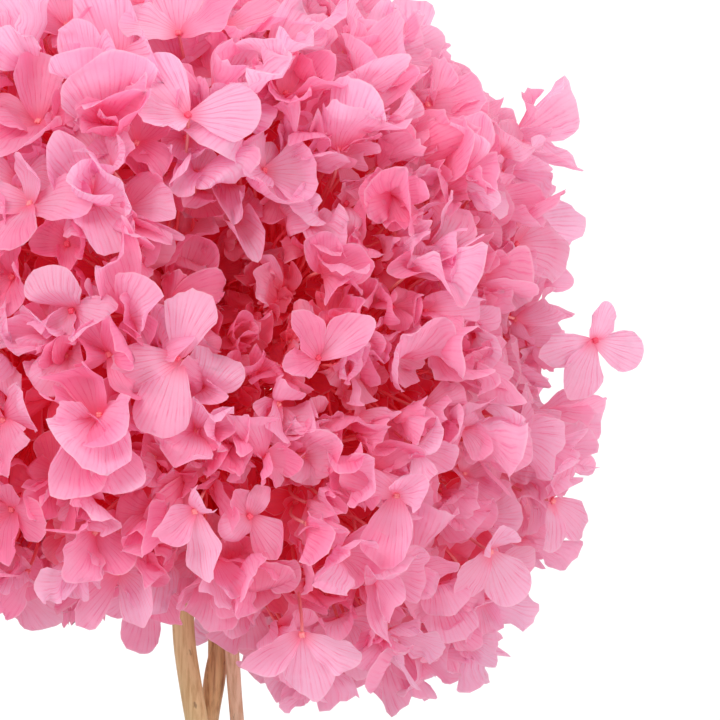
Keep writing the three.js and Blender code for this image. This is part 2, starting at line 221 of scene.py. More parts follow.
# ---- sepals ----
class Sepal:
    """The form of one sepal: sizes are shares of its length and bends are in radians."""

    def __init__(self, rng, openness):
        closed = 1 - openness
        self.length = SEPAL_LENGTH * rng.uniform(0.66, 1.16)
        self.width = rng.uniform(0.38, 0.60)
        self.waist = rng.uniform(0.35, 0.65)
        self.tip = rng.choice((-0.05, 0, 0, 0.03, 0.07))
        self.jag = rng.choice((0.02, 0.03, 0.06, 0.12))
        self.phase = rng.uniform(0, 6.28)
        self.rise = math.radians(rng.gauss(18 + 52 * closed, 11))
        self.recurve = math.radians(rng.gauss(-48 * closed, 26))
        self.kink = math.radians(rng.gauss(0, 22 + 22 * closed))
        self.kink_at = rng.uniform(0.4, 0.8)
        self.cross = rng.gauss(0.35, 0.8)
        self.fold = rng.gauss(0.05, 0.18 + 0.5 * closed)
        self.fold_at = rng.gauss(0, 0.16)
        self.twist = math.radians(rng.gauss(0, 12 + 36 * closed))
        self.ruffle = rng.uniform(0.03, 0.10) * (0.9 + 1.3 * closed)
        self.waves = rng.uniform(1.2, 3.0)
        self.roll = rng.gauss(0.0, 0.08)
        self.crumple = rng.uniform(0.03, 0.08) * (0.8 + 0.8 * closed)
        self.seed = wander(rng, 40)

    def outline(self, u, v):
        """Where a point of the square blank (-1 to 1 each way) lies on the flat sepal."""
        x = u * math.sqrt(1 - v * v / 2)
        y = v * math.sqrt(1 - u * u / 2)
        along = (y + 1) / 2
        grown = min(1.0, along / 0.7)
        narrowing = self.waist + (1 - self.waist) * grown * grown * (3 - 2 * grown)
        wavy = 1 + 0.10 * noise.noise(self.seed + Vector((0, y * 3, 7)))
        across = self.width * x * narrowing * wavy
        along += self.tip * math.exp(-((x / 0.28) ** 2)) * along**5
        along += self.jag * noise.noise(self.seed + Vector((x * 6, 3, 0))) * along**4
        return across, along

    def form(self, across, along):
        """Bends, folds and crumples the flat sepal, which starts at its claw and rises along Z."""
        bend = self.recurve if abs(self.recurve) > 0.02 else 0.02
        angle = self.rise + bend * along
        out = (math.sin(angle) - math.sin(self.rise)) / bend
        up = (math.cos(self.rise) - math.cos(angle)) / bend
        past = max(0.0, along - self.kink_at)
        angle += self.kink
        out += past * (math.cos(angle) - math.cos(angle - self.kink))
        up += past * (math.sin(angle) - math.sin(angle - self.kink))
        curl = 2 * self.cross if abs(self.cross) > 0.05 else 0.1
        side = math.sin(curl * across) / curl
        lift = (1 - math.cos(curl * across)) / curl
        lift += self.fold * abs(across - self.fold_at * self.width * along)
        to_side = across / self.width
        wave = math.sin(self.waves * along * 6.28 + self.phase + (1.9 if across > 0 else 0))
        lift += self.ruffle * wave * to_side**2 * (0.2 + along)
        lift += self.roll * abs(to_side) ** 3
        lift += self.crumple * noise.noise(self.seed + Vector((across, along, 0)) * 3.6)
        lift += 0.35 * self.crumple * noise.noise(self.seed + Vector((across * 1.6, along, 5)) * 9)
        turn = self.twist * along
        side, lift = (
            side * math.cos(turn) - lift * math.sin(turn),
            side * math.sin(turn) + lift * math.cos(turn),
        )
        place = Vector((side, out - lift * math.sin(angle), up + lift * math.cos(angle)))
        return place * self.length


class Blank:
    """A mesh being filled with sepals, with the values that their finish reads."""

    def __init__(self):
        self.mesh = bmesh.new()
        self.flat = self.mesh.loops.layers.uv.new("sepal")
        self.tone = self.mesh.verts.layers.float.new("tone")
        self.depth = self.mesh.verts.layers.float.new("depth")
        self.backlight = self.mesh.verts.layers.float.new("backlight")
        self.rim = self.mesh.verts.layers.float.new("rim")

    def add_sepal(self, sepal, placing, floret, tone):
        across_faces, along_faces = SEPAL_GRID
        made = bmesh.ops.create_grid(
            self.mesh, x_segments=across_faces, y_segments=along_faces, size=1
        )
        flat = {}
        for vert in made["verts"]:
            across, along = sepal.outline(vert.co.x, vert.co.y)
            flat[vert] = (0.5 + across, along)
            vert[self.rim] = max(abs(vert.co.x), vert.co.y)
            vert.co = floret.hold_back(placing @ sepal.form(across, along))
            # Painted shade: the further a point lies under the head's surface, and the nearer the
            # tight heart and the recess, the redder it is painted.
            below = floret.surface - (vert.co - HEAD_CENTRE).length
            red = below / PAINTED_SHADE_DEPTH + PAINTED_SHADE_AT_SURFACE + floret.painted_shade
            vert[self.depth] = min(1.0, max(0.0, red))
            vert[self.tone] = tone
            vert[self.backlight] = floret.backlight
        for face in {face for vert in made["verts"] for face in vert.link_faces}:
            for loop in face.loops:
                loop[self.flat].uv = flat[loop.vert]


def frame_facing(normal, spin, origin):
    """A placing whose Z is the normal, turned by spin about it."""
    turn = normal.to_track_quat("Z", "Y").to_matrix().to_4x4()
    return Matrix.Translation(origin) @ turn @ Matrix.Rotation(spin, 4, "Z")


# ---- florets ----
class Floret:
    """Four sepals round a bud, on a pedicel."""

    def __init__(self, place, normal, openness, rng, size=1.0):
        toward = (place - HEAD_CENTRE).normalized()
        self.place = place
        self.normal = normal
        self.rng = rng
        self.surface = reach(toward)
        # How much painted backlight turns this floret's sepals a cooler, paler pink.
        self.backlight = backlit_share(toward)
        # How much painted shade reddens this floret's sepals, from where it lies.
        self.painted_shade = painted_shade_toward(toward)
        self.tone = rng.gauss(0, 0.5)
        count = rng.choice((4, 4, 4, 4, 4, 5, 3))
        self.walls = []
        self.by_hand = False
        first = rng.uniform(0, 6.28)
        self.spins = [first + i * 2 * math.pi / count + rng.gauss(0, 0.16) for i in range(count)]
        self.sepals = [Sepal(rng, openness) for _ in self.spins]
        for i, sepal in enumerate(self.sepals):
            sepal.length *= size
            if i % 2:
                sepal.rise += math.radians(9)
                sepal.length *= 0.93

    def meet(self, others):
        """Sepals stay short under a higher neighbour, and press upright against one as high."""
        for other in others:
            gap = other.place - self.place
            higher = gap.dot(self.normal)
            held_from_above = HELD_BY_HAND_SET if other.by_hand else HELD_FROM_ABOVE
            if -HELD_FROM_BELOW < higher < held_from_above:
                self.walls.append((self.place + gap * MEETING_PLACE, gap.normalized()))
            if higher > 0:
                for spin, sepal in zip(self.spins, self.sepals):
                    way = frame_facing(self.normal, spin, Vector()) @ Vector((0, 1, 0))
                    facing = max(0.0, gap.normalized().dot(way))
                    close = max(0.0, 1 - gap.length / SHADE_REACH) * facing**2
                    sepal.length *= 1 - SHADE_SHARE * close

    def hold_back(self, point):
        """Turns what would reach into a neighbour's space up along this floret's side of it."""
        for foot, way in self.walls:
            past = (point - foot).dot(way)
            if past > 0:
                point = point - way * past * PUSHED_BACK + self.normal * past * TURNED_UP
        return point

    def add_sepals(self, blank):
        """Every second sepal starts a little higher, so that they overlap."""
        for i, (spin, sepal) in enumerate(zip(self.spins, self.sepals)):
            origin = self.place + self.normal * (0.25 * MM * (i % 2))
            placing = frame_facing(self.normal, spin, origin)
            blank.add_sepal(sepal, placing, self, self.tone + self.rng.gauss(0, 0.35))

    def add_bud(self, mesh):
        """A small ball of four closed lobes."""
        for i in range(4):
            made = bmesh.ops.create_icosphere(mesh, subdivisions=1, radius=BUD_RADIUS * 0.62)
            angle = self.spins[0] + math.pi / 4 + i * math.pi / 2
            lobe = Matrix.Translation((0.38 * BUD_RADIUS, 0, 0)) @ Matrix.Diagonal((1, 0.9, 1.25, 1))
            placing = frame_facing(self.normal, angle, self.place + self.normal * 0.9 * MM)
            bmesh.ops.transform(mesh, matrix=placing @ lobe, verts=made["verts"])


def on_face(x, z, lift):
    """The point on the head's side towards -Y at x and z (mm) from its middle, raised by lift."""
    toward = Vector((x, 0, z)) * MM
    radius = HEAD_RADIUS - FLORET_DEPTH
    for _ in range(4):
        front = math.sqrt(max(radius**2 - toward.x**2 - toward.z**2, (4 * MM) ** 2))
        radius = reach(Vector((toward.x, -front, toward.z)).normalized())
    return HEAD_CENTRE + Vector((toward.x, -front - lift * MM, toward.z))


def feature_floret(place, facing, sepals, seed):
    """A listed floret.

    Each sepal is given as the angle that it points, counted from +X towards +Z in degrees,
    its length and full width in mm, its rise in degrees and its fold.
    """
    rng = random.Random(seed)
    normal = Vector(facing).normalized()
    floret = Floret(place, normal, 0.85, rng)
    level = frame_facing(normal, 0, Vector()).to_3x3().inverted()
    floret.spins = []
    floret.sepals = []
    for angle, length, width, rise, fold in sepals:
        turn = math.radians(angle)
        way = level @ Vector((math.cos(turn), 0, math.sin(turn)))
        floret.spins.append(math.atan2(-way.x, way.y))
        sepal = Sepal(rng, 0.9)
        sepal.length = length * MM
        sepal.width = width / length / 2
        sepal.rise = math.radians(rise)
        sepal.recurve *= 0.6
        sepal.kink *= 0.5
        sepal.fold = fold
        floret.sepals.append(sepal)
    floret.tone += 0.6
    floret.by_hand = True
    return floret


# The large open florets that stand out on the face of the bunch. Each is a place as x and z,
# how far it stands out, the way it faces, and its sepals as angle, length, width, rise and fold.
FEATURES = (
    (
        13, -1, 8, (-0.1, -1, 0.1),
        ((72, 18, 14, 20, 0.1), (195, 17, 15, 12, 0.1), (252, 20, 18, 8, 0.05)),
    ),
    (
        15, 57, 8, (0.0, -0.9, 0.45),
        ((125, 18, 15, 14, 0.1), (2, 18, 16, 14, 0.1), (215, 15, 13, 35, 0.3)),
    ),
    (
        12, 78, 7, (-0.1, -0.75, 0.65),
        ((95, 18, 14, 10, 0.1), (170, 15, 13, 20, 0.2), (20, 16, 13, 25, 0.2)),
    ),
    (
        17, -37, 7, (-0.1, -0.9, -0.3),
        ((282, 18, 12, 10, 0.1), (200, 13, 11, 50, 0.4), (60, 14, 12, 55, 0.3)),
    ),
    (
        65, -34, 10, (0.15, -1, -0.2),
        ((262, 18, 17, 6, 0.05), (152, 16, 14, 14, 0.1), (50, 14, 11, 52, 0.4)),
    ),
    (
        89, -50, 8, (0.5, -0.8, -0.25),
        ((305, 16, 14, 10, 0.1), (215, 15, 12, 20, 0.1), (115, 14, 11, 35, 0.2)),
    ),
    (
        106, -38, 6, (0.7, -0.7, -0.1),
        ((330, 15, 12, 15, 0.1), (250, 14, 12, 12, 0.1), (110, 14, 12, 25, 0.1)),
    ),
    (
        42, -68, 7, (0.0, -0.8, -0.55),
        ((278, 18, 14, 8, 0.1), (205, 16, 12, 18, 0.1), (330, 16, 12, 18, 0.2)),
    ),
    (
        3, -60, 6, (-0.2, -0.8, -0.5),
        ((255, 19, 12, 6, 0.1), (175, 14, 12, 20, 0.1), (20, 14, 11, 35, 0.3)),
    ),
    (
        46, -1, 5, (0.1, -1, 0.3),
        ((30, 17, 11, 35, 0.5), (130, 15, 10, 55, 0.6), (215, 16, 9, 40, 0.6)),
    ),
)
# One floret stands out by itself at the right, on a long thin stalk.
STRAY_PLACE = Vector((119, -6, 4)) * MM
STRAY_FACING = (0.35, -0.95, -0.1)
STRAY_SEPALS = (
    (190, 18, 10, 4, 0.35),
    (242, 17, 14, 8, 0.1),
    (85, 12, 10, 25, 0.2),
    (340, 14, 12, 20, 0.1),
)
STRAY_SEED = 77


def feature_florets():
    """The listed florets."""
    florets = [
        feature_floret(on_face(x, z, lift), facing, sepals, seed)
        for seed, (x, z, lift, facing, sepals) in enumerate(FEATURES, 1)
    ]
    stray = feature_floret(HEAD_CENTRE + STRAY_PLACE, STRAY_FACING, STRAY_SEPALS, STRAY_SEED)
    return [*florets, stray]


def lattice_florets(by_hand):
    """The florets of the whole head, in layers, round the listed ones."""
    florets = []
    for count, share, openness, widest in LAYERS:
        for i, toward in enumerate(spread(count, count)):
            if toward.angle(RED_HEART) > widest:
                continue
            rng = random.Random(count * 1000 + i)
            toward = (toward + wander(rng, 0.035)).normalized()
            depth = share - 0.09 * rng.random() ** 1.4
            place = HEAD_CENTRE + toward * reach(toward) * depth
            sideways = Vector((place.x, place.y, 0)) - STEMS_AT
            if toward.z < 0 and sideways.length < ENTRY_RADIUS:
                continue
            room = ROOM_AT_SURFACE if share == 1 else ROOM_BELOW
            if any((place - other.place).length < room for other in by_hand):
                continue
            normal = (toward + wander(rng, 0.3)).normalized()
            tight = TIGHTER * nearness(toward, RED_HEART, HEART_WIDTH)
            full = nearness(toward, FULL_FACE, HEART_WIDTH)
            how_open = min(1.0, max(0.0, rng.gauss(openness - tight + FULLER * full, 0.28)))
            size = rng.uniform(0.84, 1.1) + LARGER * full
            floret = Floret(place, normal, how_open, rng, size)
            floret.tone += PALER * full
            florets.append(floret)
    return florets


def all_florets():
    """The whole head's florets, each fitted to its neighbours."""
    by_hand = feature_florets()
    florets = by_hand + lattice_florets(by_hand)
    tree = KDTree(len(florets))
    for i, floret in enumerate(florets):
        tree.insert(floret.place, i)
    tree.balance()
    for floret in florets[len(by_hand) :]:
        near = tree.find_range(floret.place, NEIGHBOURHOOD)
        floret.meet([florets[i] for _, i, gap in near if gap > 0])
    return florets


# ---- clusters ----
class Cluster:
    """A CAD cluster node: where its stalk starts and which way its florets lie."""

    def __init__(self, name):
        self.name = name
        self.number = name.rsplit("_", 1)[1]
        points = [vert.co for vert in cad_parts[name].data.vertices]
        furthest = max((p - HEAD_CENTRE).length for p in points)
        outer = [p for p in points if (p - HEAD_CENTRE).length > 0.8 * furthest]
        middle = sum(outer, Vector()) / len(outer)
        self.start = min(points, key=lambda p: (p - HEAD_CENTRE).length).copy()
        self.toward = (middle - HEAD_CENTRE).normalized()
        self.umbel = self.start.lerp(middle, 0.5)
        self.florets = []


def share_out(clusters, florets):
    """Gives each floret to the cluster that points its way."""
    for floret in florets:
        toward = (floret.place - HEAD_CENTRE).normalized()
        owner = max(clusters, key=lambda cluster: cluster.toward.dot(toward))
        owner.florets.append(floret)


def finish_piece(piece, node, material, levels=1):
    """Gives a piece its material, a smoothing modifier when levels is above 0 and its body, and hides
    the CAD node that it stands for.
    """
    piece.data.materials.append(material)
    if levels:
        surface = piece.modifiers.new("surface", "SUBSURF")
        surface.levels = surface.render_levels = levels
    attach(piece, "root")
    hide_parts(node)


def object_of(mesh, name):
    """A scene object holding a finished bmesh, smooth shaded."""
    for face in mesh.faces:
        face.smooth = True
    data = bpy.data.meshes.new(name)
    mesh.to_mesh(data)
    mesh.free()
    piece = bpy.data.objects.new(name, data)
    bpy.context.scene.collection.objects.link(piece)
    return piece


def stalk_curve(name, routes):
    """Thin round stalks, each along its own points and with its own thickness."""
    curve = bpy.data.curves.new(name, "CURVE")
    curve.dimensions = "3D"
    curve.bevel_depth = PEDICEL_RADIUS
    curve.bevel_resolution = 1
    curve.resolution_u = 3
    curve.use_fill_caps = True
    for points, thickness in routes:
        spline = curve.splines.new("NURBS")
        spline.points.add(len(points) - 1)
        spline.order_u = 3
        spline.use_endpoint_u = True
        for target, point in zip(spline.points, points):
            target.co = (*point, 1)
            target.radius = thickness
    piece = bpy.data.objects.new(name, curve)
    bpy.context.scene.collection.objects.link(piece)
    return piece


def pedicel_route(cluster, floret):
    """From where the cluster's stalk divides to the back of a floret."""
    start = cluster.umbel
    end = floret.place - floret.normal * 0.3 * MM
    sag = wander(floret.rng, 2.2 * MM)
    return [start, start.lerp(end, 0.55) + sag, end - floret.normal * 6 * MM, end]


def build_cluster(cluster, materials):
    """One cluster's sepals, buds and stalks, each a piece of its own."""
    blank = Blank()
    buds = bmesh.new()
    stalk = [cluster.start, cluster.start.lerp(cluster.umbel, 0.5), cluster.umbel]
    routes = [(stalk, CLUSTER_STALK_GIRTH)]
    for floret in cluster.florets:
        floret.add_sepals(blank)
        floret.add_bud(buds)
        routes.append((pedicel_route(cluster, floret), 1.0))
    sepals = object_of(blank.mesh, f"sepals_{cluster.number}")
    finish_piece(sepals, cluster.name, materials["sepal"], levels=0)
    bud_piece = object_of(buds, f"buds_{cluster.number}")
    finish_piece(bud_piece, cluster.name, materials["bud"], levels=0)
    stalks = stalk_curve(f"stalks_{cluster.number}", routes)
    finish_piece(stalks, cluster.name, materials["stalk"], levels=0)


# ---- materials ----
def new_material(name):
    material = bpy.data.materials.new(name)
    material.use_nodes = True
    tree = material.node_tree
    return material, tree, tree.nodes["Principled BSDF"]


def add_node(tree, kind, **values):
    node = tree.nodes.new(kind)
    for key, value in values.items():
        setattr(node, key, value)
    return node


def plug(tree, target, value):
    """Sets a socket to a number or a colour, or links an output to it."""
    if isinstance(value, bpy.types.NodeSocket):
        tree.links.new(value, target)
    else:
        target.default_value = value


def math_node(tree, operation, a, b=0.0):
    node = add_node(tree, "ShaderNodeMath", operation=operation)
    plug(tree, node.inputs[0], a)
    plug(tree, node.inputs[1], b)
    return node.outputs[0]


def mix_colour(tree, factor, a, b):
    node = add_node(tree, "ShaderNodeMix", data_type="RGBA")
    plug(tree, node.inputs[0], factor)
    plug(tree, node.inputs[6], a)
    plug(tree, node.inputs[7], b)
    return node.outputs[2]


def ramp(tree, value, low, high, start=0.0, end=1.0):
    node = add_node(tree, "ShaderNodeMapRange", interpolation_type="SMOOTHSTEP")
    plug(tree, node.inputs["Value"], value)
    for key, number in (("From Min", low), ("From Max", high), ("To Min", start), ("To Max", end)):
        node.inputs[key].default_value = number
    return node.outputs["Result"]


def texture_noise(tree, vector, scale, detail=3.0, roughness=0.5):
    node = add_node(tree, "ShaderNodeTexNoise")
    plug(tree, node.inputs["Vector"], vector)
    node.inputs["Scale"].default_value = scale
    node.inputs["Detail"].default_value = detail
    node.inputs["Roughness"].default_value = roughness
    return node.outputs["Fac"]


def scaled(tree, vector, scale):
    node = add_node(tree, "ShaderNodeMapping")
    plug(tree, node.inputs["Vector"], vector)
    node.inputs["Scale"].default_value = scale
    return node.outputs["Vector"]


def new_group(name, inputs, outputs):
    """A shader group with its input and output nodes: sockets are given as name and kind."""
    group = bpy.data.node_groups.new(name, "ShaderNodeTree")
    for sockets, in_out in ((inputs, "INPUT"), (outputs, "OUTPUT")):
        for title, kind in sockets:
            group.interface.new_socket(
                name=title, in_out=in_out, socket_type=f"NodeSocket{kind}"
            )
    given = group.nodes.new("NodeGroupInput").outputs
    wanted = group.nodes.new("NodeGroupOutput").inputs
    return group, given, wanted


def mottling_group():
    """Two colours in soft patches, for buds and stalks."""
    group, given, wanted = new_group(
        "mottling",
        (
            ("Place", "Vector"),
            ("Scale", "Float"),
            ("Detail", "Float"),
            ("Low", "Float"),
            ("High", "Float"),
            ("First", "Color"),
            ("Second", "Color"),
        ),
        (("Colour", "Color"),),
    )
    patches = add_node(group, "ShaderNodeTexNoise")
    for socket in ("Scale", "Detail"):
        group.links.new(given[socket], patches.inputs[socket])
    group.links.new(given["Place"], patches.inputs["Vector"])
    share = add_node(group, "ShaderNodeMapRange", interpolation_type="SMOOTHSTEP")
    group.links.new(patches.outputs["Fac"], share.inputs["Value"])
    group.links.new(given["Low"], share.inputs["From Min"])
    group.links.new(given["High"], share.inputs["From Max"])
    colour = mix_colour(group, share.outputs["Result"], given["First"], given["Second"])
    group.links.new(colour, wanted["Colour"])
    return group


def bark_group():
    """Dried bark: fibres along the stem, paler streaks and dark specks, with their height."""
    group, given, wanted = new_group(
        "bark",
        (("Place", "Vector"), ("Pale", "Color"), ("Dark", "Color"), ("Streak", "Color")),
        (("Colour", "Color"), ("Height", "Float")),
    )
    place = given["Place"]
    fibres = texture_noise(group, scaled(group, place, (900, 900, 55)), 1.0, 4, 0.6)
    patches = texture_noise(group, place, 70, 3)
    colour = mix_colour(group, ramp(group, fibres, 0.30, 0.60), given["Dark"], given["Pale"])
    streaks = ramp(group, patches, 0.52, 0.72, 0.0, 0.7)
    colour = mix_colour(group, streaks, colour, given["Streak"])
    specks = texture_noise(group, scaled(group, place, (500, 500, 260)), 1.0, 2)
    specks = ramp(group, specks, 0.66, 0.74, 0.0, 0.6)
    colour = mix_colour(group, specks, colour, (0.16, 0.07, 0.03, 1))
    group.links.new(colour, wanted["Colour"])
    group.links.new(fibres, wanted["Height"])
    return group


def place_group(tree, group, **values):
    """Places a shader group in a material with its own values."""
    node = tree.nodes.new("ShaderNodeGroup")
    node.node_tree = group
    for title, value in values.items():
        plug(tree, node.inputs[title], value)
    return node


def fan_of_veins(tree, across, along, wobble, count, thickness, fade_from, fade_to):
    """Fine lines that spread from the claw, as a mask that grows from one place along to another."""
    spread_out = math_node(tree, "ADD", along, 0.14)
    angle = math_node(tree, "DIVIDE", across, spread_out)
    angle = math_node(tree, "MULTIPLY", angle, count)
    angle = math_node(tree, "ADD", angle, wobble)
    saw = math_node(tree, "FRACT", angle)
    centred = math_node(tree, "SUBTRACT", saw, 0.5)
    line = ramp(tree, math_node(tree, "ABSOLUTE", centred), 0.0, thickness, 1.0, 0.0)
    return math_node(tree, "MULTIPLY", line, ramp(tree, along, fade_from, fade_to))


# The sepals' colours. The coral at the claw and the deep red are painted shade, and the cool pink and
# the rim pink are painted light.
ROSE = (0.99, 0.33, 0.54, 1)
PALE_PINK = (0.985, 0.61, 0.81, 1)
BACKLIT_PINK = (0.97, 0.59, 0.77, 1)
CLAW_SHADE_CORAL = (0.99, 0.22, 0.36, 1)
PAINTED_SHADE_RED = (1.0, 0.08, 0.15, 1)
VEIN_CRIMSON = (0.93, 0.08, 0.32, 1)
RIM_LIGHT_PINK = (0.985, 0.65, 0.78, 1)
LIGHT_THROUGH = 0.5  # share of the light that passes through a sepal


def sepal_material():
    """Thin veined sepals that let light through, painted redder at the claw and deep in the head as
    shade, and paler at the rims and backlit sides as light.
    """
    material, tree, shader = new_material("sepal")
    uv = add_node(tree, "ShaderNodeUVMap", uv_map="sepal").outputs["UV"]
    split = add_node(tree, "ShaderNodeSeparateXYZ")
    plug(tree, split.inputs[0], uv)
    across = math_node(tree, "SUBTRACT", split.outputs[0], 0.5)
    along = split.outputs[1]
    place = add_node(tree, "ShaderNodeTexCoord").outputs["Object"]
    tone, depth, backlight, edge = (
        add_node(tree, "ShaderNodeAttribute", attribute_name=name).outputs["Fac"]
        for name in ("tone", "depth", "backlight", "rim")
    )

    wobble = math_node(tree, "MULTIPLY", texture_noise(tree, place, 60, 3, 0.6), 0.9)
    main = fan_of_veins(tree, across, along, wobble, 7.0, 0.15, 0.0, 0.12)
    fine = fan_of_veins(tree, across, along, wobble, 15.0, 0.19, 0.25, 0.6)
    veins = math_node(tree, "MAXIMUM", main, math_node(tree, "MULTIPLY", fine, 0.6))
    breaks = ramp(tree, texture_noise(tree, place, 260, 2), 0.36, 0.62, 0.3, 1.0)
    edge_fade = ramp(tree, along, 0.6, 1.0, 1.0, 0.4)
    veins = math_node(tree, "MULTIPLY", math_node(tree, "MULTIPLY", veins, breaks), edge_fade)

    patches = texture_noise(tree, place, 46, 3)
    mottling = math_node(tree, "ADD", patches, math_node(tree, "MULTIPLY", tone, 0.22))
    paleness = ramp(tree, mottling, 0.30, 0.78)
    colour = mix_colour(tree, paleness, ROSE, PALE_PINK)
    # Painted light: a cooler, paler pink where the sepals are lit from behind.
    backlit_mix = math_node(tree, "MULTIPLY", backlight, 0.62)
    colour = mix_colour(tree, backlit_mix, colour, BACKLIT_PINK)
    # Painted shade: the claws, where the sepals crowd at the floret's middle, are painted redder.
    claw = ramp(tree, along, 0.0, 0.34, 0.75, 0.0)
    colour = mix_colour(tree, claw, colour, CLAW_SHADE_CORAL)
    # Painted shade: the sepals turn deep red the further they lie inside the head.
    colour = mix_colour(tree, ramp(tree, depth, 0.22, 1.0, 0.0, 0.92), colour, PAINTED_SHADE_RED)
    vein_share = math_node(tree, "MULTIPLY", veins, 0.5)
    colour = mix_colour(tree, vein_share, colour, VEIN_CRIMSON)
    # Painted light: a pale line along each sepal's rim, where light shows through its thin edge.
    rim = ramp(tree, edge, 0.90, 1.0, 0.0, 0.5)
    colour = mix_colour(tree, rim, colour, RIM_LIGHT_PINK)

    grain = texture_noise(tree, place, 420, 3, 0.6)
    streaks = texture_noise(tree, scaled(tree, uv, (16, 3, 1)), 1.0, 3, 0.6)
    crinkle = math_node(tree, "ADD", streaks, grain)
    height = math_node(tree, "SUBTRACT", crinkle, math_node(tree, "MULTIPLY", veins, 0.5))
    bump = add_node(tree, "ShaderNodeBump")
    bump.inputs["Strength"].default_value = 0.5
    bump.inputs["Distance"].default_value = 0.3 * MM
    plug(tree, bump.inputs["Height"], height)

    plug(tree, shader.inputs["Base Color"], colour)
    plug(tree, shader.inputs["Normal"], bump.outputs["Normal"])
    shader.inputs["Roughness"].default_value = 0.55
    shader.inputs["Specular IOR Level"].default_value = 0.3
    through = add_node(tree, "ShaderNodeBsdfTranslucent")
    plug(tree, through.inputs["Color"], colour)
    plug(tree, through.inputs["Normal"], bump.outputs["Normal"])
    both = add_node(tree, "ShaderNodeMixShader")
    both.inputs[0].default_value = LIGHT_THROUGH
    tree.links.new(shader.outputs[0], both.inputs[1])
    tree.links.new(through.outputs[0], both.inputs[2])
    tree.links.new(both.outputs[0], tree.nodes["Material Output"].inputs["Surface"])
    return material


def bud_material(mottling):
    material, tree, shader = new_material("bud")
    place = add_node(tree, "ShaderNodeTexCoord").outputs["Object"]
    red = (0.85, 0.08, 0.16, 1)
    coral = (0.92, 0.30, 0.32, 1)
    skin = place_group(
        tree, mottling, Place=place, Scale=60, Detail=2, Low=0.4, High=0.62, First=red, Second=coral
    )
    plug(tree, shader.inputs["Base Color"], skin.outputs["Colour"])
    shader.inputs["Roughness"].default_value = 0.5
    bump = add_node(tree, "ShaderNodeBump")
    bump.inputs["Distance"].default_value = 0.15 * MM
    plug(tree, bump.inputs["Height"], texture_noise(tree, place, 900, 2))
    plug(tree, shader.inputs["Normal"], bump.outputs["Normal"])
    return material


def stalk_material(mottling):
    """Coral skin, painted deep red inside the head as shade."""
    material, tree, shader = new_material("stalk")
    place = add_node(tree, "ShaderNodeTexCoord").outputs["Object"]
    rose = (0.80, 0.22, 0.25, 1)
    coral = (0.86, 0.44, 0.38, 1)
    skin = place_group(
        tree, mottling, Place=place, Scale=90, Detail=3, Low=0.35, High=0.7, First=rose, Second=coral
    )
    from_middle = add_node(tree, "ShaderNodeVectorMath", operation="DISTANCE")
    plug(tree, from_middle.inputs[0], place)
    from_middle.inputs[1].default_value = HEAD_CENTRE
    away = from_middle.outputs["Value"]
    # Painted shade: the stalks turn deep red the deeper they lie inside the head.
    inside = ramp(tree, away, 0.62 * HEAD_RADIUS, 0.9 * HEAD_RADIUS, 1.0, 0.0)
    colour = mix_colour(tree, inside, skin.outputs["Colour"], (0.95, 0.08, 0.13, 1))
    plug(tree, shader.inputs["Base Color"], colour)
    shader.inputs["Roughness"].default_value = 0.6
    return material


# ---- stems ----
STEM_SIDES = 20
NARROWS_OVER = 12 * MM  # a limb that changes its girth does so over this length
KNOT_LENGTH = 3 * MM


def smooth_route(points, steps):
    """Points along a smooth curve through the given ones."""
    padded = [points[0] * 2 - points[1], *points, points[-1] * 2 - points[-2]]
    out = []
    for a, b, c, d in zip(padded, padded[1:], padded[2:], padded[3:]):
        for i in range(steps):
            t = i / steps
            out.append(
                0.5
                * (
                    2 * b
                    + (c - a) * t
                    + (2 * a - 5 * b + 4 * c - d) * t**2
                    + (3 * b - a - 3 * c + d) * t**3
                )
            )
    out.append(points[-1])
    return out


def add_stem_limb(mesh, points, radius, seed, knots=(), upper_radius=None, narrows_at=0.0):
    """A woody round limb wrapped from a grid, with ridges, slight bends in its girth and knots."""
    sides = STEM_SIDES
    rings = len(points) - 1
    made = bmesh.ops.create_grid(mesh, x_segments=sides, y_segments=rings, size=1)
    lengths = [0.0]
    for a, b in zip(points, points[1:]):
        lengths.append(lengths[-1] + (b - a).length)
    for vert in made["verts"]:
        around = (vert.co.x + 1) * math.pi
        ring = round((vert.co.y + 1) / 2 * rings)
        ahead = points[min(ring + 1, rings)] - points[max(ring - 1, 0)]
        side = ahead.cross(Vector((0, 1, 0))).normalized()
        front = ahead.cross(side).normalized()
        distance = lengths[ring]
        girth = radius
        if upper_radius:
            share = min(1.0, max(0.0, (distance - narrows_at) / NARROWS_OVER))
            girth += (upper_radius - radius) * share
        girth *= 1 + 0.05 * noise.noise(Vector((seed, distance * 90, 0)))
        for knot in knots:
            girth += 0.16 * radius * math.exp(-(((distance - knot) / KNOT_LENGTH) ** 2))
        turning = Vector((math.cos(around) * 1.6, math.sin(around) * 1.6, distance * 25 + seed))
        girth *= 1 + 0.09 * noise.noise(turning)
        vert.co = points[ring] + side * girth * math.cos(around) + front * girth * math.sin(around)
    bmesh.ops.remove_doubles(mesh, verts=made["verts"], dist=0.01 * MM)
    rims = [edge for edge in mesh.edges if edge.is_boundary]
    bmesh.ops.holes_fill(mesh, edges=rims, sides=sides + 1)


LEFT_STEM_RADIUS = 3.1 * MM
FORKED_STEM_RADIUS = 2.9 * MM
FORK_BRANCH_RADIUS = 2.1 * MM
RIGHT_STEM_RADIUS = 1.9 * MM
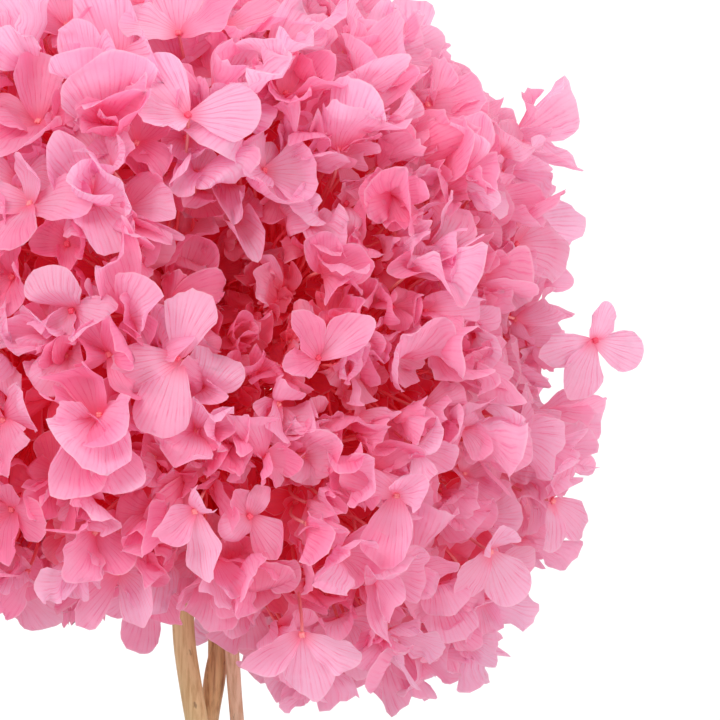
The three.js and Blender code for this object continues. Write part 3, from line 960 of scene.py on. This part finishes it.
# The stems pass close together here, between the jar's mouth and the flowers.
NECK_Z = JAR_HIGH.z + 30 * MM
LEFT_NECK = Vector((-5.6 * MM, -2.1 * MM, NECK_Z))
RIGHT_NECK = Vector((6.8 * MM, -0.5 * MM, NECK_Z))
FORK = Vector((2 * MM, 3.5 * MM, NECK_Z - 4 * MM))
CUT_ENDS_Z = JAR_LOW.z + 7.4 * MM
CUT_ENDS_RING = JAR_HIGH.x - 13 * MM
HEART_RADIUS = 26 * MM  # the stems end this far from the head's middle
CROWN_LEAN = 4.5 * MM  # the fork's front branch leans this far to the right before it turns up


def cut_end(angle):
    """The middle of a stem's cut end on the jar's floor."""
    across = CUT_ENDS_RING * math.cos(angle)
    return Vector((across, CUT_ENDS_RING * math.sin(angle), CUT_ENDS_Z))


def stem_top(x, y, z):
    """Where a stem ends in the head, in a direction from its middle."""
    return HEAD_CENTRE + Vector((x, y, z)).normalized() * HEART_RADIUS


def limb_bend(start, end, lean=0.0):
    """Where a stem, nearly straight up to there, leans out towards its top."""
    bend = start.lerp(end, 0.1)
    bend.x += lean
    bend.z = start.z + 0.5 * (end.z - start.z)
    return bend


def limb_route(angle, neck, end):
    """A stem's line from its cut end through the neck to its top."""
    start = cut_end(angle)
    points = [start, start.lerp(neck, 0.55), neck, limb_bend(neck, end), end]
    return smooth_route(points, 14)


def build_left_stem(material):
    mesh = bmesh.new()
    route = limb_route(-0.75, LEFT_NECK, stem_top(-0.87, -0.25, -0.43))
    add_stem_limb(mesh, route, LEFT_STEM_RADIUS, 1.7, (62 * MM, 128 * MM))
    finish_piece(object_of(mesh, "stem_left_bark"), "stem_left", material)


def build_right_stem(material):
    mesh = bmesh.new()
    route = limb_route(0.95, RIGHT_NECK, stem_top(0.75, -0.55, -0.37))
    add_stem_limb(mesh, route, RIGHT_STEM_RADIUS, 5.1, (90 * MM,))
    finish_piece(object_of(mesh, "stem_right_bark"), "stem_right", material)


def build_forked_stem(material):
    """The trunk goes on into the crown branch, and the back branch starts inside the trunk."""
    mesh = bmesh.new()
    start = cut_end(2.5)
    crown = stem_top(0.05, 0, 1)
    back = stem_top(0.15, 0.9, -0.4)
    trunk = [start, start.lerp(FORK, 0.55), FORK]
    trunk_length = (FORK - start).length
    knots = (70 * MM, 120 * MM, trunk_length - 2 * MM)
    route = smooth_route([*trunk, limb_bend(FORK, crown, CROWN_LEAN), crown], 14)
    add_stem_limb(mesh, route, FORKED_STEM_RADIUS, 9.3, knots, FORK_BRANCH_RADIUS, trunk_length)
    inside_trunk = FORK.lerp(start, 0.05)
    branch = smooth_route([inside_trunk, FORK, limb_bend(FORK, back), back], 12)
    add_stem_limb(mesh, branch, FORK_BRANCH_RADIUS, 3.3)
    finish_piece(object_of(mesh, "stem_forked_bark"), "stem_forked", material)


def bark_material(name, bark, pale, dark, streak):
    material, tree, shader = new_material(name)
    place = add_node(tree, "ShaderNodeTexCoord").outputs["Object"]
    grain = place_group(tree, bark, Place=place, Pale=pale, Dark=dark, Streak=streak)
    bump = add_node(tree, "ShaderNodeBump")
    bump.inputs["Distance"].default_value = 0.35 * MM
    bump.inputs["Strength"].default_value = 0.6
    plug(tree, bump.inputs["Height"], grain.outputs["Height"])
    plug(tree, shader.inputs["Base Color"], grain.outputs["Colour"])
    plug(tree, shader.inputs["Normal"], bump.outputs["Normal"])
    shader.inputs["Roughness"].default_value = 0.62
    return material


# ---- jar ----
JAR_BODY_RADIUS = JAR_HIGH.x
JAR_NECK_RADIUS = JAR_BODY_RADIUS - 13 * MM
JAR_HEIGHT = JAR_HIGH.z
JAR_WALL = 3 * MM
JAR_BASE = 7 * MM
JAR_HEEL = 8 * MM
JAR_SHOULDER = 22 * MM
JAR_NECK_HEIGHT = 17 * MM  # lip and neck together


def jar_side(inset, low):
    """One face of the wall from the heel up to the neck, as (radius, height) points."""
    body = JAR_BODY_RADIUS - inset
    heel = JAR_HEEL - inset
    top = JAR_HEIGHT - JAR_NECK_HEIGHT
    points = [(body - heel, low)]
    for i in range(1, 5):
        angle = i / 4 * math.pi / 2
        points.append((body - heel + heel * math.sin(angle), low + heel - heel * math.cos(angle)))
    for i in range(7):
        t = i / 6
        ease = t * t * (3 - 2 * t)
        radius = body - (JAR_BODY_RADIUS - JAR_NECK_RADIUS) * ease
        points.append((radius, top - JAR_SHOULDER * (1 - t)))
    return points


def jar_profile():
    """The jar's wall as one closed line of (radius, height) from the axis out, up and back inside."""
    height = JAR_HEIGHT
    neck = JAR_NECK_RADIUS
    lip = [
        (neck, height - 7.5 * MM),
        (neck + 2.2 * MM, height - 6 * MM),
        (neck + 2.5 * MM, height - 3.5 * MM),
        (neck + 1.9 * MM, height - 0.8 * MM),
        (neck, height),
        (neck - JAR_WALL + 0.8 * MM, height - 0.3 * MM),
        (neck - JAR_WALL, height - 2 * MM),
    ]
    outer = jar_side(0, 0)
    inner = jar_side(JAR_WALL, JAR_BASE)
    underside_middle = [(0, 0), (JAR_BODY_RADIUS * 0.45, 0)]
    floor_middle = [(JAR_BODY_RADIUS * 0.4, JAR_BASE), (0, JAR_BASE)]
    return [*underside_middle, *outer, *lip, *reversed(inner), *floor_middle]


def build_jar(material):
    mesh = bmesh.new()
    line = [mesh.verts.new((radius, 0, z)) for radius, z in jar_profile()]
    edges = [mesh.edges.new(pair) for pair in zip(line, line[1:])]
    bmesh.ops.spin(
        mesh,
        geom=line + edges,
        cent=(0, 0, 0),
        axis=(0, 0, 1),
        angle=2 * math.pi,
        steps=48,
        use_merge=True,
    )
    bmesh.ops.remove_doubles(mesh, verts=mesh.verts, dist=0.01 * MM)
    bmesh.ops.recalc_face_normals(mesh, faces=mesh.faces)
    finish_piece(object_of(mesh, "jar"), "glass_jar", material, levels=2)


def glass_material():
    material, tree, shader = new_material("clear_glass")
    shader.inputs["Base Color"].default_value = (0.95, 0.985, 0.975, 1)
    shader.inputs["Roughness"].default_value = 0.02
    shader.inputs["IOR"].default_value = 1.5
    shader.inputs["Transmission Weight"].default_value = 1.0
    place = add_node(tree, "ShaderNodeTexCoord").outputs["Object"]
    bump = add_node(tree, "ShaderNodeBump")
    bump.inputs["Strength"].default_value = 0.12
    bump.inputs["Distance"].default_value = 1.5 * MM
    plug(tree, bump.inputs["Height"], texture_noise(tree, place, 24, 1))
    plug(tree, shader.inputs["Normal"], bump.outputs["Normal"])
    return material


# ---- setting ----
FLOOR_RADIUS = 1.35
FLOOR_FADES_FROM = 0.35
FLOOR_GONE_BY = 1.25
ROOM_LIGHT = 0.79
SEEN_WHITE = 1.1  # the room as the camera sees it, a plain white
CAMERA_DISTANCE = 0.9
PICTURE_WIDTH = 194.4 * MM  # what the camera takes in at the head's middle
CAMERA_ACROSS = 56.2 * MM  # to the right of the head's middle
CAMERA_DROP = 1.3 * MM
SENSOR_WIDTH = 36


def build_floor():
    """A pale round floor that fades into the white of the room."""
    mesh = bmesh.new()
    bmesh.ops.create_circle(mesh, cap_ends=True, segments=96, radius=FLOOR_RADIUS)
    floor = object_of(mesh, "floor")
    floor.location.z = -0.2 * MM
    material, tree, shader = new_material("pale_floor")
    shader.inputs["Base Color"].default_value = (0.86, 0.86, 0.86, 1)
    shader.inputs["Roughness"].default_value = 0.9
    shader.inputs["Specular IOR Level"].default_value = 0.1
    place = add_node(tree, "ShaderNodeTexCoord").outputs["Object"]
    from_middle = add_node(tree, "ShaderNodeVectorMath", operation="LENGTH")
    plug(tree, from_middle.inputs[0], place)
    clear = add_node(tree, "ShaderNodeBsdfTransparent")
    fading = add_node(tree, "ShaderNodeMixShader")
    away = from_middle.outputs["Value"]
    tree.links.new(ramp(tree, away, FLOOR_FADES_FROM, FLOOR_GONE_BY), fading.inputs[0])
    tree.links.new(shader.outputs[0], fading.inputs[1])
    tree.links.new(clear.outputs[0], fading.inputs[2])
    tree.links.new(fading.outputs[0], tree.nodes["Material Output"].inputs["Surface"])
    floor.data.materials.append(material)


def add_area_light(name, offset, size, watts):
    """A soft round light at an offset from the head's middle, turned towards it."""
    data = bpy.data.lights.new(name, "AREA")
    data.shape = "DISK"
    data.size = size
    data.energy = watts
    light = bpy.data.objects.new(name, data)
    light.location = HEAD_CENTRE + Vector(offset)
    light.rotation_euler = (-Vector(offset)).to_track_quat("-Z", "Y").to_euler()
    bpy.context.scene.collection.objects.link(light)


def build_light():
    """Even white light from all round, a key at the upper left, a fill at the right and a top."""
    world = bpy.data.worlds.new("studio")
    bpy.context.scene.world = world
    world.use_nodes = True
    tree = world.node_tree
    background = tree.nodes["Background"]
    background.inputs["Color"].default_value = (1, 1, 1, 1)
    background.inputs["Strength"].default_value = ROOM_LIGHT
    white = add_node(tree, "ShaderNodeBackground")
    white.inputs["Color"].default_value = (1, 1, 1, 1)
    white.inputs["Strength"].default_value = SEEN_WHITE
    seen = add_node(tree, "ShaderNodeLightPath")
    mix = add_node(tree, "ShaderNodeMixShader")
    tree.links.new(seen.outputs["Is Camera Ray"], mix.inputs[0])
    tree.links.new(background.outputs[0], mix.inputs[1])
    tree.links.new(white.outputs[0], mix.inputs[2])
    tree.links.new(mix.outputs[0], tree.nodes["World Output"].inputs["Surface"])
    add_area_light("key", (-0.45, -1.0, 0.55), size=0.6, watts=6)
    add_area_light("fill", (0.9, -0.8, 0.1), size=0.8, watts=3.2)
    add_area_light("top", (0.1, 0.3, 1.1), size=0.9, watts=6)


def build_camera():
    """Level with the head's middle, close in, and opposite the right half of the bunch."""
    data = bpy.data.cameras.new("camera")
    camera = bpy.data.objects.new("camera", data)
    data.sensor_width = SENSOR_WIDTH
    data.lens = SENSOR_WIDTH * CAMERA_DISTANCE / PICTURE_WIDTH
    data.clip_end = 20
    camera.location = HEAD_CENTRE + Vector((CAMERA_ACROSS, -CAMERA_DISTANCE, -CAMERA_DROP))
    camera.rotation_euler = (math.pi / 2, 0, 0)
    bpy.context.scene.collection.objects.link(camera)
    bpy.context.scene.camera = camera


def main():
    bpy.context.scene.view_settings.view_transform = "Standard"
    # Light passes through many sepals before it leaves the head.
    bpy.context.scene.cycles.diffuse_bounces = 12
    bpy.context.scene.cycles.max_bounces = 16
    mottling = mottling_group()
    bark = bark_group()
    petals = {
        "sepal": sepal_material(),
        "bud": bud_material(mottling),
        "stalk": stalk_material(mottling),
    }
    clusters = [Cluster(name) for name in CLUSTER_NAMES]
    share_out(clusters, all_florets())
    for cluster in clusters:
        build_cluster(cluster, petals)
    build_left_stem(
        bark_material(
            "ochre_bark",
            bark,
            pale=(0.80, 0.62, 0.32, 1),
            dark=(0.60, 0.40, 0.17, 1),
            streak=(0.86, 0.71, 0.44, 1),
        )
    )
    build_forked_stem(
        bark_material(
            "tan_bark",
            bark,
            pale=(0.72, 0.45, 0.22, 1),
            dark=(0.40, 0.19, 0.08, 1),
            streak=(0.77, 0.54, 0.30, 1),
        )
    )
    build_right_stem(
        bark_material(
            "salmon_bark",
            bark,
            pale=(0.82, 0.54, 0.37, 1),
            dark=(0.58, 0.31, 0.18, 1),
            streak=(0.84, 0.62, 0.46, 1),
        )
    )
    build_jar(glass_material())
    build_floor()
    build_light()
    build_camera()


main()
